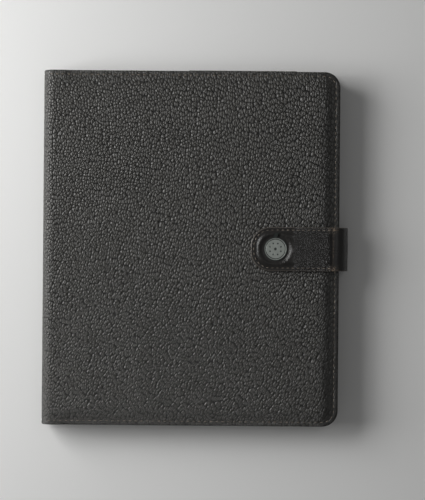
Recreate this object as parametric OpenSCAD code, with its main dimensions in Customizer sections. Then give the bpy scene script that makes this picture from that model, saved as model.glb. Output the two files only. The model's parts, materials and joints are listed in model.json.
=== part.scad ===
// Folio case for a tablet, closed by a leather strap with a press stud.
// Sizes are in millimetres. The case lies on its back: X runs from the spine to the
// fore-edge, Y from the closed end of the bay to its mouth, Z from the back to the front.
// The origin is the middle of the back's outer face.

/* [Tablet] */
// Width of the tablet that the bay holds
tablet_w = 185.7; // [140:0.1:225]
// Length of the tablet that the bay holds
tablet_l = 241.2; // [190:0.1:292]
// Thickness of the tablet that the bay holds
tablet_t = 9.4; // [7.5:0.1:13]
// Room between the tablet and each wall of the bay
bay_clearance = 0.4; // [0.2:0.1:1]
// Room between the tablet and the bezel above it
bay_headroom = 0.2; // [0.1:0.1:0.6]

/* [Covers] */
// Thickness of the outer leather
leather_t = 1.2; // [0.9:0.1:1.6]
// Thickness of the stiff boards in both covers
board_t = 1.5; // [1.2:0.1:2.2]
// Thickness of the lining
lining_t = 0.6; // [0.4:0.1:1]
// Thickness of the foam under the front leather
padding_t = 1.3; // [0.8:0.1:2.5]
// Room between the closed bezel and the pockets in the front cover
cover_gap = 1.1; // [0.6:0.1:3]
// Radius of the covers' corners at the fore-edge
corner_r = 11.5; // [6:0.5:20]
// Leather turned in around the edge of each board
turn_in = 1.5; // [1:0.1:2.5]
// Flat stitched border around the padded front
border_w = 3.5; // [2.5:0.1:6]
// Width over which the padded front rolls down to its border
roll_w = 8.5; // [4:0.5:14]
// Radius on the outer rim of the front cover
rim_r = 1.1; // [0.6:0.1:1.2]
// Covers standing out past the bay's fore-edge wall
fore_margin = 5.3; // [4.6:0.1:10]
// Covers standing out past the bay's end wall
end_margin = 4.8; // [4.2:0.1:10]
// Covers standing out past the mouth flap
mouth_margin = 5; // [4.6:0.1:10]

/* [Spine] */
// Distance from the bay's wall to the outside of the spine
spine_margin = 18; // [16:0.5:26]
// Outer radius of the spine's two rounded edges
spine_r = 7.5; // [6:0.1:8.2]
// Thickness of the board in the spine
spine_board_t = 1; // [0.8:0.1:1.4]
// Distance from the spine's rounded edge to the cover boards
gutter_w = 5.6; // [5:0.1:8]
// Slope of the lining from a board down to the fold
gutter_slope = 4; // [3:0.1:4.5]
// Split across a fold, where two moving pieces meet
fold_gap = 0.25; // [0.2:0.05:0.4]
// Distance of a fold's turning line outside the leather
fold_out = 0.15; // [0.1:0.05:0.3]

/* [Tablet bay] */
// Thickness of the stiff strips in the bay's walls
wall_t = 1.4; // [1:0.1:2]
// Thickness of the leather around the bay's walls
gusset_t = 0.8; // [0.6:0.1:1.2]
// Width of the gusset's sewn flange
flange_w = 3; // [2:0.1:4]
// Inner radius of the bay's corners
bay_r = 8; // [5:0.5:12]
// Bezel lapping over the edge of the tablet
bezel_lap = 8; // [5:0.5:14]
// Thickness of the bezel's board
bezel_board_t = 0.6; // [0.5:0.1:1]
// Thickness of the bezel's leather
bezel_leather_t = 0.8; // [0.6:0.1:1.2]
// Leather turned in around the window
window_turn = 1; // [0.8:0.1:2]
// Radius of the window's corners
window_r = 4; // [2:0.5:10]
// Length of the charging slot in the end wall
port_w = 26; // [14:1:50]
// Height of the charging slot and of the button slot
slot_h = 5; // [4.6:0.1:6]
// Length of the button slot in the fore-edge wall
button_w = 42; // [20:1:60]
// Distance from the mouth to the button slot's middle
button_from_mouth = 41; // [35:1:70]

/* [Mouth flap] */
// Thickness of the flap's board
flap_board_t = 1; // [0.8:0.1:1.4]
// Thickness of the flap's leather
flap_leather_t = 0.8; // [0.6:0.1:1.2]
// Running gap around the flap
flap_gap = 0.3; // [0.2:0.05:0.5]
// Width of the flap's pull tab
pull_w = 79; // [30:1:120]
// Thickness of the flap's pull tab
pull_t = 1; // [0.8:0.1:1.6]
// Pull tab standing out past the covers
pull_stand = 0.9; // [0.5:0.1:3]
// Pull tab's offset from the middle, towards the fore-edge
pull_offset = 30.5; // [-20:0.5:40]

/* [Pockets] */
// Thickness of the document pocket
pocket_t = 0.7; // [0.5:0.1:1]
// Thickness of each card slot's leather
card_t = 0.5; // [0.4:0.1:0.7]
// Margin between the pockets and the covers' edges
pocket_margin = 7.5; // [5:0.5:14]
// Share of the front cover's length under the document pocket
pocket_share = 0.55; // [0.45:0.01:0.6]
// Width of the card slots
card_w = 96; // [90:1:110]
// Height of the tallest card slot
card_h = 74; // [66:1:80]
// Step from one card slot's edge to the next
card_step = 13; // [10:1:16]
// Radius of the thumb notches in the pockets' edges
thumb_r = 11; // [8:0.5:14]
// Depth of the thumb notches
thumb_depth = 4.5; // [3:0.5:6]

/* [Strap] */
// Width of the strap
strap_w = 31.5; // [28:0.5:45]
// Thickness of the strap's outer leather
strap_leather_t = 1.2; // [0.9:0.1:1.3]
// Thickness of the strap's lining
strap_lining_t = 0.8; // [0.6:0.1:1]
// Length of strap on the front cover, from the fore-edge
strap_reach = 63.8; // [55:0.1:90]
// Strap standing out past the fore-edge
strap_stand = 6.5; // [6.4:0.1:9]
// Outer radius of the strap's lower bend
root_r = 6; // [5:0.1:6.3]
// Outer radius of the strap's upper bend
bend_r = 10.5; // [9:0.1:11]
// Length of strap sewn into the back cover
root_in = 12; // [8:0.5:20]
// Radius of the corners of the strap's free end
strap_end_r = 14.2; // [6:0.1:15.7]
// Room between the front cover and the strap
strap_gap = 0.6; // [0.4:0.1:1.5]
// Flat stitched border of the padded strap end
tab_border = 3; // [2:0.1:4]
// Width over which the strap's padding rolls down
tab_roll = 3.5; // [2:0.1:5]
// Height of the strap's padding above its border
tab_puff = 1.1; // [0.6:0.1:1.6]
// Outer leather over the strap's padding
tab_skin_t = 0.9; // [0.6:0.1:1.1]

/* [Press stud] */
// Distance from the strap's free end to the press stud
stud_from_end = 17.8; // [16:0.1:30]
// Diameter of the cap
cap_d = 17; // [14:0.5:18]
// Thickness of the cap at its rim
cap_rim_t = 0.5; // [0.4:0.1:0.8]
// Height of the cap's dome above its rim
cap_dome = 0.45; // [0.2:0.05:0.6]
// Leather standing around the cap
dish_w = 4.1; // [3:0.1:5]
// Radius of the socket
socket_r = 6; // [5:0.1:6.4]
// Height of the socket
socket_h = 2.05; // [2:0.05:2.4]
// Radius of the stud's head
stud_r = 2.75; // [2.4:0.05:3]
// Play between the stud and the socket
stud_play = 0.1; // [0.08:0.01:0.15]

/* [Hidden] */
$fn = 64;

// Heights of the layers
back_in_z = leather_t + board_t + lining_t;
bay_top_z = back_in_z + tablet_t + bay_headroom;
bezel_z = bay_top_z + bezel_board_t;
bezel_top_z = bezel_z + bezel_leather_t;
front_in_z = bezel_top_z + cover_gap + 3 * card_t;
front_board_z = front_in_z + lining_t;
front_pad_z = front_board_z + board_t;
border_z = front_pad_z + leather_t;
case_t = border_z + padding_t;
mid_z = back_in_z + tablet_t / 2;

// Plan of the bay and of the covers
bay_w = tablet_w + 2 * bay_clearance;
bay_l = tablet_l + 2 * bay_clearance;
shell_t = wall_t + gusset_t;
flap_t = flap_board_t + flap_leather_t;
case_w = spine_margin + 2 * shell_t + bay_w + fore_margin;
case_l = end_margin + shell_t + bay_l + flap_gap + flap_t + mouth_margin;
half_w = case_w / 2;
half_l = case_l / 2;
bay_x1 = half_w - fore_margin - shell_t;
bay_x0 = bay_x1 - bay_w;
bay_y0 = -half_l + end_margin + shell_t;
bay_y1 = bay_y0 + bay_l;
bay_mid_x = (bay_x0 + bay_x1) / 2;
lining_inset = 0.4;
through = 1;

// Spine: centres of its rounded edges, and where the cover boards start
fold_x = -half_w + spine_r;
low_fold = [fold_x, spine_r];
high_fold = [fold_x, case_t - spine_r];
board_x = fold_x + gutter_w;
slope_x = board_x - gutter_slope;
spine_in_x = -half_w + leather_t;
spine_board_rise = 1.2;

// Strap: its lower and upper bends
tab_z = case_t + strap_gap;
tab_skin_z = tab_z + strap_lining_t;
tab_top_z = tab_skin_z + strap_leather_t;
puff_z = tab_top_z + tab_puff;
strap_t = strap_leather_t + strap_lining_t;
strap_x = half_w + strap_stand;
root_bend = [strap_x - root_r, leather_t + root_r];
tab_bend = [strap_x - bend_r, tab_top_z - bend_r];
tab_x = half_w - strap_reach;
tab_end_r = min(strap_end_r, strap_w / 2 - 0.1);

// Press stud: one axis through both covers of the closure
snap_x = tab_x + stud_from_end;
cap_r = cap_d / 2;
seat_z = tab_top_z - 0.1;
dish_floor_r = cap_r + 0.4;
dish_r = cap_r + dish_w;
stud_flange_r = 5;
stud_flange_t = 0.55;
dimple_floor_r = socket_r + 1;
dimple_r = dimple_floor_r + 2.5;
socket_z = border_z + stud_flange_t + stud_play;
socket_top_z = socket_z + socket_h;
socket_lip = 0.2;
socket_plate = 0.45;
spring_r = 0.3;
neck_r = stud_r - 0.5;
barrel_r = 1.9;
shank_r = 1.6;
rivet_head_r = 4.5;
rivet_head_t = 0.5;
bore_play = 0.05;

// Height of a padded top at distance d from its edge: a border, a rounded roll, a flat top
function roll_z(d, low, high, border, roll) =
    d <= border ? low :
    d >= border + roll ? high :
    low + (high - low) * (1 - cos(180 * (d - border) / roll)) / 2;

// Distances from the edge at which a padded outline has its points
function roll_steps(border, roll) = concat([0], [for (i = [0:8]) border + roll * i / 8]);

// Panel between two corners, with a radius on each of its own four corners
module panel(x0, x1, y0, y1, bl = 0, br = 0, tr = 0, tl = 0) {
    difference() {
        translate([x0, y0]) square([x1 - x0, y1 - y0]);
        corner_cut([x0, y0], [1, 1], bl);
        corner_cut([x1, y0], [-1, 1], br);
        corner_cut([x1, y1], [-1, -1], tr);
        corner_cut([x0, y1], [1, -1], tl);
    }
}

// What a rounded corner takes off; way points from the corner into the panel
module corner_cut(at, way, r) {
    if (r > 0)
        translate(at) scale([way.x, way.y]) difference() {
            translate([-through, -through]) square(r + through);
            translate([r, r]) circle(r);
        }
}

// Flat layer between two heights
module layer(z0, z1) {
    translate([0, 0, z0]) linear_extrude(z1 - z0) children();
}

// XZ outline carried along Y
module along_y(y0, y1) {
    translate([0, y1, 0]) rotate([90, 0, 0]) linear_extrude(y1 - y0) children();
}

// YZ outline carried along X
module along_x(x0, x1) {
    translate([x0, 0, 0]) rotate([90, 0, 90]) linear_extrude(x1 - x0) children();
}

// Part of a bent sheet of thickness t, from angle a0 to a1 about centre c
module bend(c, r, t, a0, a1) {
    far = 2 * r;
    mid = (a0 + a1) / 2;
    translate(c) intersection() {
        difference() {
            circle(r);
            circle(r - t);
        }
        polygon([[0, 0], far * [cos(a0), sin(a0)], far * [cos(mid), sin(mid)], far * [cos(a1), sin(a1)]]);
    }
}

// The split across a bend, half on either side of angle a
module fold_cut(c, r, a) {
    translate(c) rotate(a) translate([0, -fold_gap / 2]) square([r + through, fold_gap]);
}

// Plan of a cover, drawn in from its three free edges
module cover_plan(inset = 0, x0 = fold_x) {
    panel(x0, half_w - inset, -half_l + inset, half_l - inset, br = corner_r - inset, tr = corner_r - inset);
}

// XZ or YZ outline of a padded solid standing on base, rolled down at one or both ends
module padded_outline(x0, x1, base, low, high, border, roll, rim = 0, both = false) {
    steps = roll_steps(border, roll);
    rim_steps = [for (a = [0:22.5:90]) [rim * (1 - cos(a)), low - rim + rim * sin(a)]];
    edge = concat(rim > 0 ? rim_steps : [[0, low]],
        [for (d = steps) if (d > rim) [d, roll_z(d, low, high, border, roll)]]);
    right = [for (p = edge) [x1 - p.x, p.y]];
    left = both ? [for (i = [len(edge) - 1:-1:0]) [x0 + edge[i].x, edge[i].y]] : [[x0, high]];
    polygon(concat([[x0, base], [x1, base]], right, left));
}

// Padded solid on a cover's plan, its top lowered by drop
module padded_cover(base, drop, x0, inset, rim) {
    low = border_z - drop;
    high = case_t - drop;
    intersection() {
        along_y(-half_l, half_l) padded_outline(x0, half_w, base, low, high, border_w, roll_w, rim);
        along_x(x0, half_w) padded_outline(-half_l, half_l, base, low, high, border_w, roll_w, rim, both = true);
        layer(base, case_t) cover_plan(inset, x0);
    }
}

// ---- Back cover ----

module strap_slot(z0, z1) {
    layer(z0, z1) panel(half_w - root_in, half_w + through, -strap_w / 2, strap_w / 2);
}

module back_leather() {
    color("#352b25") difference() {
        union() {
            along_y(-half_l, half_l) difference() {
                bend(low_fold, spine_r, leather_t, 225, 270);
                fold_cut(low_fold, spine_r, 225);
            }
            layer(0, leather_t) cover_plan();
            layer(leather_t, leather_t + board_t) difference() {
                cover_plan(0, board_x);
                cover_plan(turn_in, board_x);
            }
        }
        strap_slot(leather_t, back_in_z);
    }
}

module back_board() {
    color("#8d8577") difference() {
        layer(leather_t, leather_t + board_t) cover_plan(turn_in, board_x);
        strap_slot(0, back_in_z);
    }
}

module back_lining() {
    top = [[half_w, back_in_z], [board_x, back_in_z], [slope_x, leather_t + lining_t], [fold_x, leather_t + lining_t]];
    under = [for (i = [len(top) - 1:-1:0]) top[i] - [0, lining_t]];
    color("#4a3f36") intersection() {
        along_y(-half_l, half_l) {
            polygon(concat(top, under));
            difference() {
                bend(low_fold, spine_r - leather_t, lining_t, 225, 270);
                fold_cut(low_fold, spine_r, 225);
            }
        }
        layer(0, case_t) cover_plan(lining_inset, -half_w);
    }
}

// ---- Tablet bay ----

// Plan of the bay grown by g on its three walled sides, open at the mouth
module tray_plan(g, open = 0) {
    panel(bay_x0 - g, bay_x1 + g, bay_y0 - g, bay_y1 + open, bl = bay_r + g, br = bay_r + g);
}

module window_plan(g = 0) {
    r = window_r + g;
    panel(bay_x0 + bezel_lap - g, bay_x1 - bezel_lap + g, bay_y0 + bezel_lap - g, bay_y1 - bezel_lap + g,
        bl = r, br = r, tr = r, tl = r);
}

// Slot for the charging plug through the end wall, and for the buttons through the side wall
module wall_slots() {
    r = slot_h / 2;
    depth = shell_t + through;
    low = mid_z - r;
    high = mid_z + r;
    along_y(bay_y0 - depth, bay_y0 + through)
        panel(bay_mid_x - port_w / 2, bay_mid_x + port_w / 2, low, high, bl = r, br = r, tr = r, tl = r);
    along_x(bay_x1 - through, bay_x1 + depth)
        panel(bay_y1 - button_from_mouth - button_w / 2, bay_y1 - button_from_mouth + button_w / 2, low, high,
            bl = r, br = r, tr = r, tl = r);
}

module wall_boards() {
    color("#8d8577") difference() {
        layer(back_in_z, bay_top_z) {
            panel(bay_x0 - wall_t, bay_x0, bay_y0 + bay_r, bay_y1);
            panel(bay_x1, bay_x1 + wall_t, bay_y0 + bay_r, bay_y1);
            panel(bay_x0 + bay_r, bay_x1 - bay_r, bay_y0 - wall_t, bay_y0);
        }
        wall_slots();
    }
}

// Straight leather strip over a side wall, its flange running outwards from its inner face at x
module gusset_side(x, out) {
    layer(back_in_z, bezel_z) span(x, x + out * gusset_t);
    layer(back_in_z, back_in_z + gusset_t) span(x, x + out * (gusset_t + flange_w));
}

// Plan of a strip beside the bay, from its rounded corner to the mouth
module span(xa, xb) {
    panel(min(xa, xb), max(xa, xb), bay_y0 + bay_r, bay_y1);
}

module gusset_spine_side() {
    color("#3a2f29") gusset_side(bay_x0 - wall_t, -1);
}

module gusset_fore_side() {
    color("#3a2f29") difference() {
        gusset_side(bay_x1 + wall_t, 1);
        wall_slots();
    }
}

// The end strip turns both corners and meets the side strips there
module gusset_end() {
    color("#3a2f29") difference() {
        union() {
            layer(back_in_z, bezel_z) tray_plan(shell_t);
            layer(back_in_z, back_in_z + gusset_t) tray_plan(shell_t + flange_w);
        }
        layer(back_in_z - through, bezel_z + through) tray_plan(wall_t, through);
        layer(back_in_z - through, bezel_z + through) panel(-half_w, half_w, bay_y0 + bay_r, half_l);
        wall_slots();
    }
}

module bezel_board() {
    color("#8d8577") layer(bay_top_z, bezel_z) difference() {
        tray_plan(wall_t);
        window_plan(window_turn);
    }
}

module bezel_leather() {
    color("#3a2f29") difference() {
        union() {
            layer(bezel_z, bezel_top_z) tray_plan(shell_t);
            layer(bay_top_z, bezel_z) window_plan(window_turn);
        }
        layer(bay_top_z - through, bezel_top_z + through) window_plan();
    }
}

// ---- Mouth flap ----

flap_y = bay_y1 + flap_gap;
flap_out_y = flap_y + flap_t;
flap_z = back_in_z + flap_gap;
flap_top_z = bezel_top_z - flap_gap;
pull_z = flap_top_z - flap_leather_t - pull_t;

module flap_hinge() {
    color("#3a2f29") layer(back_in_z, back_in_z + gusset_t)
        panel(bay_x0 - wall_t, bay_x1 + wall_t, flap_out_y + flap_gap, half_l - gusset_t, tl = 2, tr = 2);
}

module flap_leather() {
    color("#3a2f29") along_x(bay_x0 - wall_t, bay_x1 + wall_t)
        polygon([[flap_out_y - flap_leather_t, flap_z], [flap_out_y, flap_z], [flap_out_y, flap_top_z],
            [flap_y, flap_top_z], [flap_y, flap_top_z - flap_leather_t],
            [flap_out_y - flap_leather_t, flap_top_z - flap_leather_t]]);
}

module flap_board() {
    color("#8d8577") layer(flap_z + flap_gap, flap_top_z - flap_leather_t)
        panel(bay_x0 - wall_t + turn_in, bay_x1 + wall_t - turn_in, flap_y, flap_y + flap_board_t);
}

module flap_pull() {
    x0 = bay_mid_x + pull_offset - pull_w / 2;
    color("#2a221d") layer(pull_z, pull_z + pull_t)
        panel(x0, x0 + pull_w, flap_out_y, half_l + pull_stand, tl = 1, tr = 1);
}

// ---- Spine ----

// Two half bends and the straight between them, at depth d under the outer face
module spine_band(d, t) {
    difference() {
        union() {
            bend(low_fold, spine_r - d, t, 180, 225);
            bend(high_fold, spine_r - d, t, 135, 180);
            children();
        }
        fold_cut(low_fold, spine_r, 225);
        fold_cut(high_fold, spine_r, 135);
    }
}

module spine_leather() {
    color("#352b25") along_y(-half_l, half_l) spine_band(0, leather_t)
        panel(-half_w, spine_in_x, low_fold.y, high_fold.y);
}

module spine_board() {
    color("#8d8577") along_y(-half_l + turn_in, half_l - turn_in)
        panel(spine_in_x, spine_in_x + spine_board_t, low_fold.y + spine_board_rise, high_fold.y - spine_board_rise);
}

module spine_lining() {
    face = [[spine_in_x, high_fold.y], [spine_in_x + spine_board_t, high_fold.y - spine_board_rise],
        [spine_in_x + spine_board_t, low_fold.y + spine_board_rise], [spine_in_x, low_fold.y]];
    back = [for (i = [len(face) - 1:-1:0]) face[i] + [lining_t, 0]];
    color("#4a3f36") along_y(-half_l + lining_inset, half_l - lining_inset) spine_band(leather_t, lining_t)
        polygon(concat(face, back));
}

// ---- Front cover ----

module stud_bore(r) {
    translate([snap_x, 0, front_in_z - through]) cylinder(r = r, h = case_t);
}

// Dimple that the press stud pulls into the padded front, at depth d under the leather
module stud_dimple(d) {
    translate([snap_x, 0, border_z - d])
        cylinder(r1 = dimple_floor_r + d, r2 = dimple_r + d, h = padding_t + 0.001);
}

module front_padding() {
    color("#3b3b3b") difference() {
        padded_cover(front_pad_z, leather_t, board_x, border_w, 0);
        stud_dimple(leather_t);
    }
}

module front_board() {
    color("#8d8577") difference() {
        layer(front_board_z, front_pad_z) cover_plan(turn_in, board_x);
        stud_bore(shank_r + bore_play);
        translate([snap_x, 0, front_board_z - through]) cylinder(r = rivet_head_r + bore_play, h = rivet_head_t + through);
    }
}

module front_leather() {
    // At the spine the leather is level from end to end, and rolls down to the border beyond it
    level = concat([[board_x, front_pad_z], [fold_x, front_pad_z], [fold_x, case_t]],
        [for (i = [8:-1:0]) [board_x + roll_w * (1 - i / 8), roll_z(roll_w * i / 8, border_z, case_t, 0, roll_w)]]);
    color("#352b25") difference() {
        union() {
            along_y(-half_l, half_l) {
                difference() {
                    bend(high_fold, spine_r, leather_t, 90, 135);
                    fold_cut(high_fold, spine_r, 135);
                }
                polygon(level);
            }
            padded_cover(front_board_z, 0, fold_x, 0, rim_r);
        }
        layer(front_board_z - through, front_pad_z) cover_plan(turn_in, board_x);
        layer(front_board_z - through, case_t - leather_t) panel(fold_x, board_x, -case_l, case_l);
        front_padding();
        stud_dimple(0);
        stud_bore(shank_r + bore_play);
    }
}

module front_lining() {
    high = case_t - leather_t;
    top = [[half_w, front_board_z], [board_x, front_board_z], [slope_x, high], [fold_x, high]];
    under = [for (i = [len(top) - 1:-1:0]) top[i] - [0, lining_t]];
    color("#4a3f36") intersection() {
        along_y(-half_l, half_l) {
            polygon(concat(top, under));
            difference() {
                bend(high_fold, spine_r - leather_t, lining_t, 90, 135);
                fold_cut(high_fold, spine_r, 135);
            }
        }
        layer(0, case_t) cover_plan(lining_inset, -half_w);
    }
}

// ---- Pockets inside the front cover ----

pocket_x0 = board_x + 4;
pocket_x1 = half_w - pocket_margin;
pocket_y0 = -half_l + pocket_margin;
pocket_y1 = pocket_y0 + pocket_share * case_l;
card_y0 = pocket_y1 + 8;
card_x0 = bay_mid_x - card_w / 2;

// Shallow round notch in an edge, for the thumb
module thumb_notch(x, y) {
    translate([x, y + thumb_r - thumb_depth]) circle(thumb_r);
}

module document_pocket() {
    color("#3a2f29") layer(front_in_z - pocket_t, front_in_z) difference() {
        panel(pocket_x0, pocket_x1, pocket_y0, pocket_y1, br = corner_r - pocket_margin + 2);
        thumb_notch(bay_mid_x, pocket_y1);
    }
}

// One card slot, counted from the lining: each is a step shorter than the one behind it
module card_slot(i) {
    top = card_y0 + card_h - i * card_step;
    color("#3a2f29") layer(front_in_z - (i + 1) * card_t, front_in_z - i * card_t) difference() {
        panel(card_x0, card_x0 + card_w, card_y0, top, tl = 2, tr = 2);
        thumb_notch(bay_mid_x, top);
    }
}

module card_slot_upper() {
    card_slot(0);
}

module card_slot_middle() {
    card_slot(1);
}

module card_slot_lower() {
    card_slot(2);
}

// ---- Strap ----

module strap_root() {
    color("#241c18") along_y(-strap_w / 2, strap_w / 2) difference() {
        union() {
            panel(half_w - root_in, half_w, leather_t, leather_t + board_t);
            panel(half_w, root_bend.x, leather_t, leather_t + strap_t);
            bend(root_bend, root_r, strap_t, 270, 315);
        }
        fold_cut(root_bend, root_r, 315);
    }
}

// The standing part of the strap, at depth d under its outer face
module bridge_band(d, t) {
    along_y(-strap_w / 2, strap_w / 2) difference() {
        union() {
            bend(root_bend, root_r - d, t, 315, 360);
            panel(strap_x - d - t, strap_x - d, root_bend.y, tab_bend.y);
            bend(tab_bend, bend_r - d, t, 0, 45);
        }
        fold_cut(root_bend, root_r, 315);
        fold_cut(tab_bend, bend_r, 45);
    }
}

module bridge_leather() {
    color("#241c18") bridge_band(0, strap_leather_t);
}

module bridge_lining() {
    color("#3a2f29") bridge_band(strap_leather_t, strap_lining_t);
}

// The bent start of the strap's free part, at depth d under its outer face
module tab_bend_part(d, t) {
    along_y(-strap_w / 2, strap_w / 2) difference() {
        bend(tab_bend, bend_r - d, t, 45, 90);
        fold_cut(tab_bend, bend_r, 45);
    }
}

module tab_plan() {
    panel(tab_x, tab_bend.x, -strap_w / 2, strap_w / 2, bl = tab_end_r, tl = tab_end_r);
}

// Padded top of the strap's free part, lowered by drop
module tab_pillow(drop) {
    low = tab_top_z - drop;
    high = puff_z - drop;
    intersection() {
        along_y(-strap_w / 2, strap_w / 2) translate([tab_x + tab_bend.x, 0]) mirror([1, 0])
            padded_outline(tab_x, tab_bend.x, tab_skin_z, low, high, tab_border, tab_roll, both = true);
        along_x(tab_x, tab_bend.x)
            padded_outline(-strap_w / 2, strap_w / 2, tab_skin_z, low, high, tab_border, tab_roll, both = true);
        layer(tab_skin_z, puff_z) tab_plan();
    }
}

// Dish in the strap around the cap, at depth d under the leather
module cap_dish(d) {
    translate([snap_x, 0, seat_z - d])
        cylinder(r1 = dish_floor_r + d, r2 = dish_r + d, h = puff_z - seat_z + 0.001);
}

module snap_bore(r, z0, z1) {
    translate([snap_x, 0, z0]) cylinder(r = r, h = z1 - z0);
}

hat_z = socket_top_z + 0.4;

module tab_filler() {
    color("#3b3b3b") difference() {
        intersection() {
            tab_pillow(tab_skin_t);
            layer(tab_skin_z, puff_z) panel(tab_x + tab_border, tab_bend.x - tab_border,
                -strap_w / 2 + tab_border, strap_w / 2 - tab_border,
                bl = tab_end_r - tab_border, tl = tab_end_r - tab_border);
        }
        snap_bore(dish_floor_r + tab_skin_t, tab_z, puff_z);
        cap_dish(tab_skin_t);
    }
}

module tab_leather() {
    color("#241c18") difference() {
        union() {
            tab_pillow(0);
            tab_bend_part(0, strap_leather_t);
        }
        tab_filler();
        cap_dish(0);
        snap_bore(socket_r + 1.4, tab_z, hat_z);
        snap_bore(barrel_r + bore_play, tab_z, puff_z);
    }
}

module tab_lining() {
    color("#3a2f29") difference() {
        union() {
            layer(tab_z, tab_skin_z) tab_plan();
            tab_bend_part(strap_leather_t, strap_lining_t);
            snap_bore(socket_r + 1.4, tab_z, hat_z);
        }
        snap_bore(socket_r + bore_play, tab_z - through, socket_top_z);
        snap_bore(barrel_r + bore_play, tab_z, puff_z);
    }
}

// ---- Press stud ----

module snap_cap() {
    z = seat_z;
    top = z + cap_rim_t;
    // Radius of the ball that the dome is a slice of
    ball = (cap_r * cap_r + cap_dome * cap_dome) / (2 * cap_dome);
    rim_line = [0.86 * cap_r, 0.9 * cap_r];
    color("#9a958a") translate([snap_x, 0, 0]) {
        translate([0, 0, z]) cylinder(r = cap_r, h = cap_rim_t);
        translate([0, 0, socket_top_z - socket_plate]) cylinder(r = barrel_r, h = z - socket_top_z + socket_plate);
        difference() {
            intersection() {
                translate([0, 0, top]) cylinder(r = cap_r, h = cap_dome);
                translate([0, 0, top + cap_dome - ball]) sphere(r = ball, $fn = 200);
            }
            translate([0, 0, top + 0.1]) difference() {
                cylinder(r = rim_line[1], h = cap_dome);
                cylinder(r = rim_line[0], h = cap_dome);
            }
        }
    }
}

module snap_socket() {
    mouth = stud_r + 2 * stud_play;
    room = spring_r * 2 + neck_r + 1.3;
    color("#b5b0a5") translate([snap_x, 0, 0]) difference() {
        translate([0, 0, socket_z]) cylinder(r = socket_r, h = socket_h);
        translate([0, 0, socket_z - through]) cylinder(r = mouth, h = socket_h + through - socket_plate);
        translate([0, 0, socket_z + socket_lip]) cylinder(r = room, h = socket_h - socket_lip - socket_plate);
        translate([0, 0, socket_z]) cylinder(r = barrel_r + bore_play, h = socket_h + through);
    }
}

module socket_spring() {
    color("#c9c9c9") translate([snap_x, 0, socket_z + socket_lip + spring_r])
        rotate_extrude() translate([neck_r + stud_play + spring_r, 0]) circle(spring_r);
}

module snap_stud() {
    neck_top = socket_z + socket_lip + 2 * spring_r + stud_play;
    head_top = socket_top_z - socket_plate - stud_play;
    color("#b5b0a5") translate([snap_x, 0, 0]) difference() {
        rotate_extrude() polygon([[0, border_z], [stud_flange_r, border_z], [stud_flange_r, border_z + stud_flange_t - 0.15],
            [stud_flange_r - 0.4, border_z + stud_flange_t], [neck_r, border_z + stud_flange_t], [neck_r, neck_top],
            [stud_r, neck_top + 0.25], [stud_r, head_top - 0.35], [stud_r - 0.6, head_top], [0, head_top]]);
        translate([0, 0, border_z - through]) cylinder(r = shank_r + bore_play, h = head_top - border_z - 0.4 + through);
    }
}

module stud_rivet() {
    top = socket_top_z - socket_plate - stud_play - 0.5;
    color("#b5b0a5") translate([snap_x, 0, 0]) {
        translate([0, 0, front_board_z]) cylinder(r = rivet_head_r, h = rivet_head_t);
        translate([0, 0, front_board_z]) cylinder(r = shank_r, h = top - front_board_z);
    }
}

back_leather();
back_board();
back_lining();
wall_boards();
gusset_spine_side();
gusset_fore_side();
gusset_end();
bezel_board();
bezel_leather();
flap_hinge();
flap_leather();
flap_board();
flap_pull();
spine_leather();
spine_board();
spine_lining();
front_leather();
front_padding();
front_board();
front_lining();
document_pocket();
card_slot_upper();
card_slot_middle();
card_slot_lower();
snap_stud();
stud_rivet();
strap_root();
bridge_leather();
bridge_lining();
tab_leather();
tab_filler();
tab_lining();
snap_cap();
snap_socket();
socket_spring();
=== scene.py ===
import json
import math

import bpy
from mathutils import Matrix, Vector, noise


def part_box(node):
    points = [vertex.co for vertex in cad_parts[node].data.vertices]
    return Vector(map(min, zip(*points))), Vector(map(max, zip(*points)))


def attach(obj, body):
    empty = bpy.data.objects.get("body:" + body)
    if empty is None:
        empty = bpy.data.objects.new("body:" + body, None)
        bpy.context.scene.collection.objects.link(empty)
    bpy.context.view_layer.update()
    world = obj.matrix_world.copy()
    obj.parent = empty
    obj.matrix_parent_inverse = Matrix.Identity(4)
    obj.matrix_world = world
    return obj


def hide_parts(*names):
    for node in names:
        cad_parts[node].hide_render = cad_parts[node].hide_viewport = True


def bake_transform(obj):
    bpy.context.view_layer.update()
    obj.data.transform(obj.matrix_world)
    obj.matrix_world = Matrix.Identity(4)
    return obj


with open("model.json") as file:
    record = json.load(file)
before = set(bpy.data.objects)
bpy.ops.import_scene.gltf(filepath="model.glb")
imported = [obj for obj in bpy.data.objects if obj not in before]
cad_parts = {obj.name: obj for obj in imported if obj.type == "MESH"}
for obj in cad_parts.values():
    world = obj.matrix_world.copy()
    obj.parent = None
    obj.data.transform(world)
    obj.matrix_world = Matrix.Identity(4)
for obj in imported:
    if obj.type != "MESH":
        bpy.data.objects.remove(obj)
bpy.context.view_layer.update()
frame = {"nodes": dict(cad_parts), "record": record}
NODES = frame["nodes"]

bl_info = {
    "name": "Tablet Case",
    "version": (1, 0, 0),
    "blender": (4, 5, 0),
    "location": "View3D > Sidebar > Tablet Case",
    "description": "Dresses the frame of a padded leather tablet case",
    "category": "Add Mesh",
}

MM = 0.001
BODY_OF = {node: body for body, nodes in frame["record"]["behaviour"]["bodies"].items() for node in nodes}


# ---- Measures read from the frame ----

def low(node):
    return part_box(node)[0]


def high(node):
    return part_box(node)[1]


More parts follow.
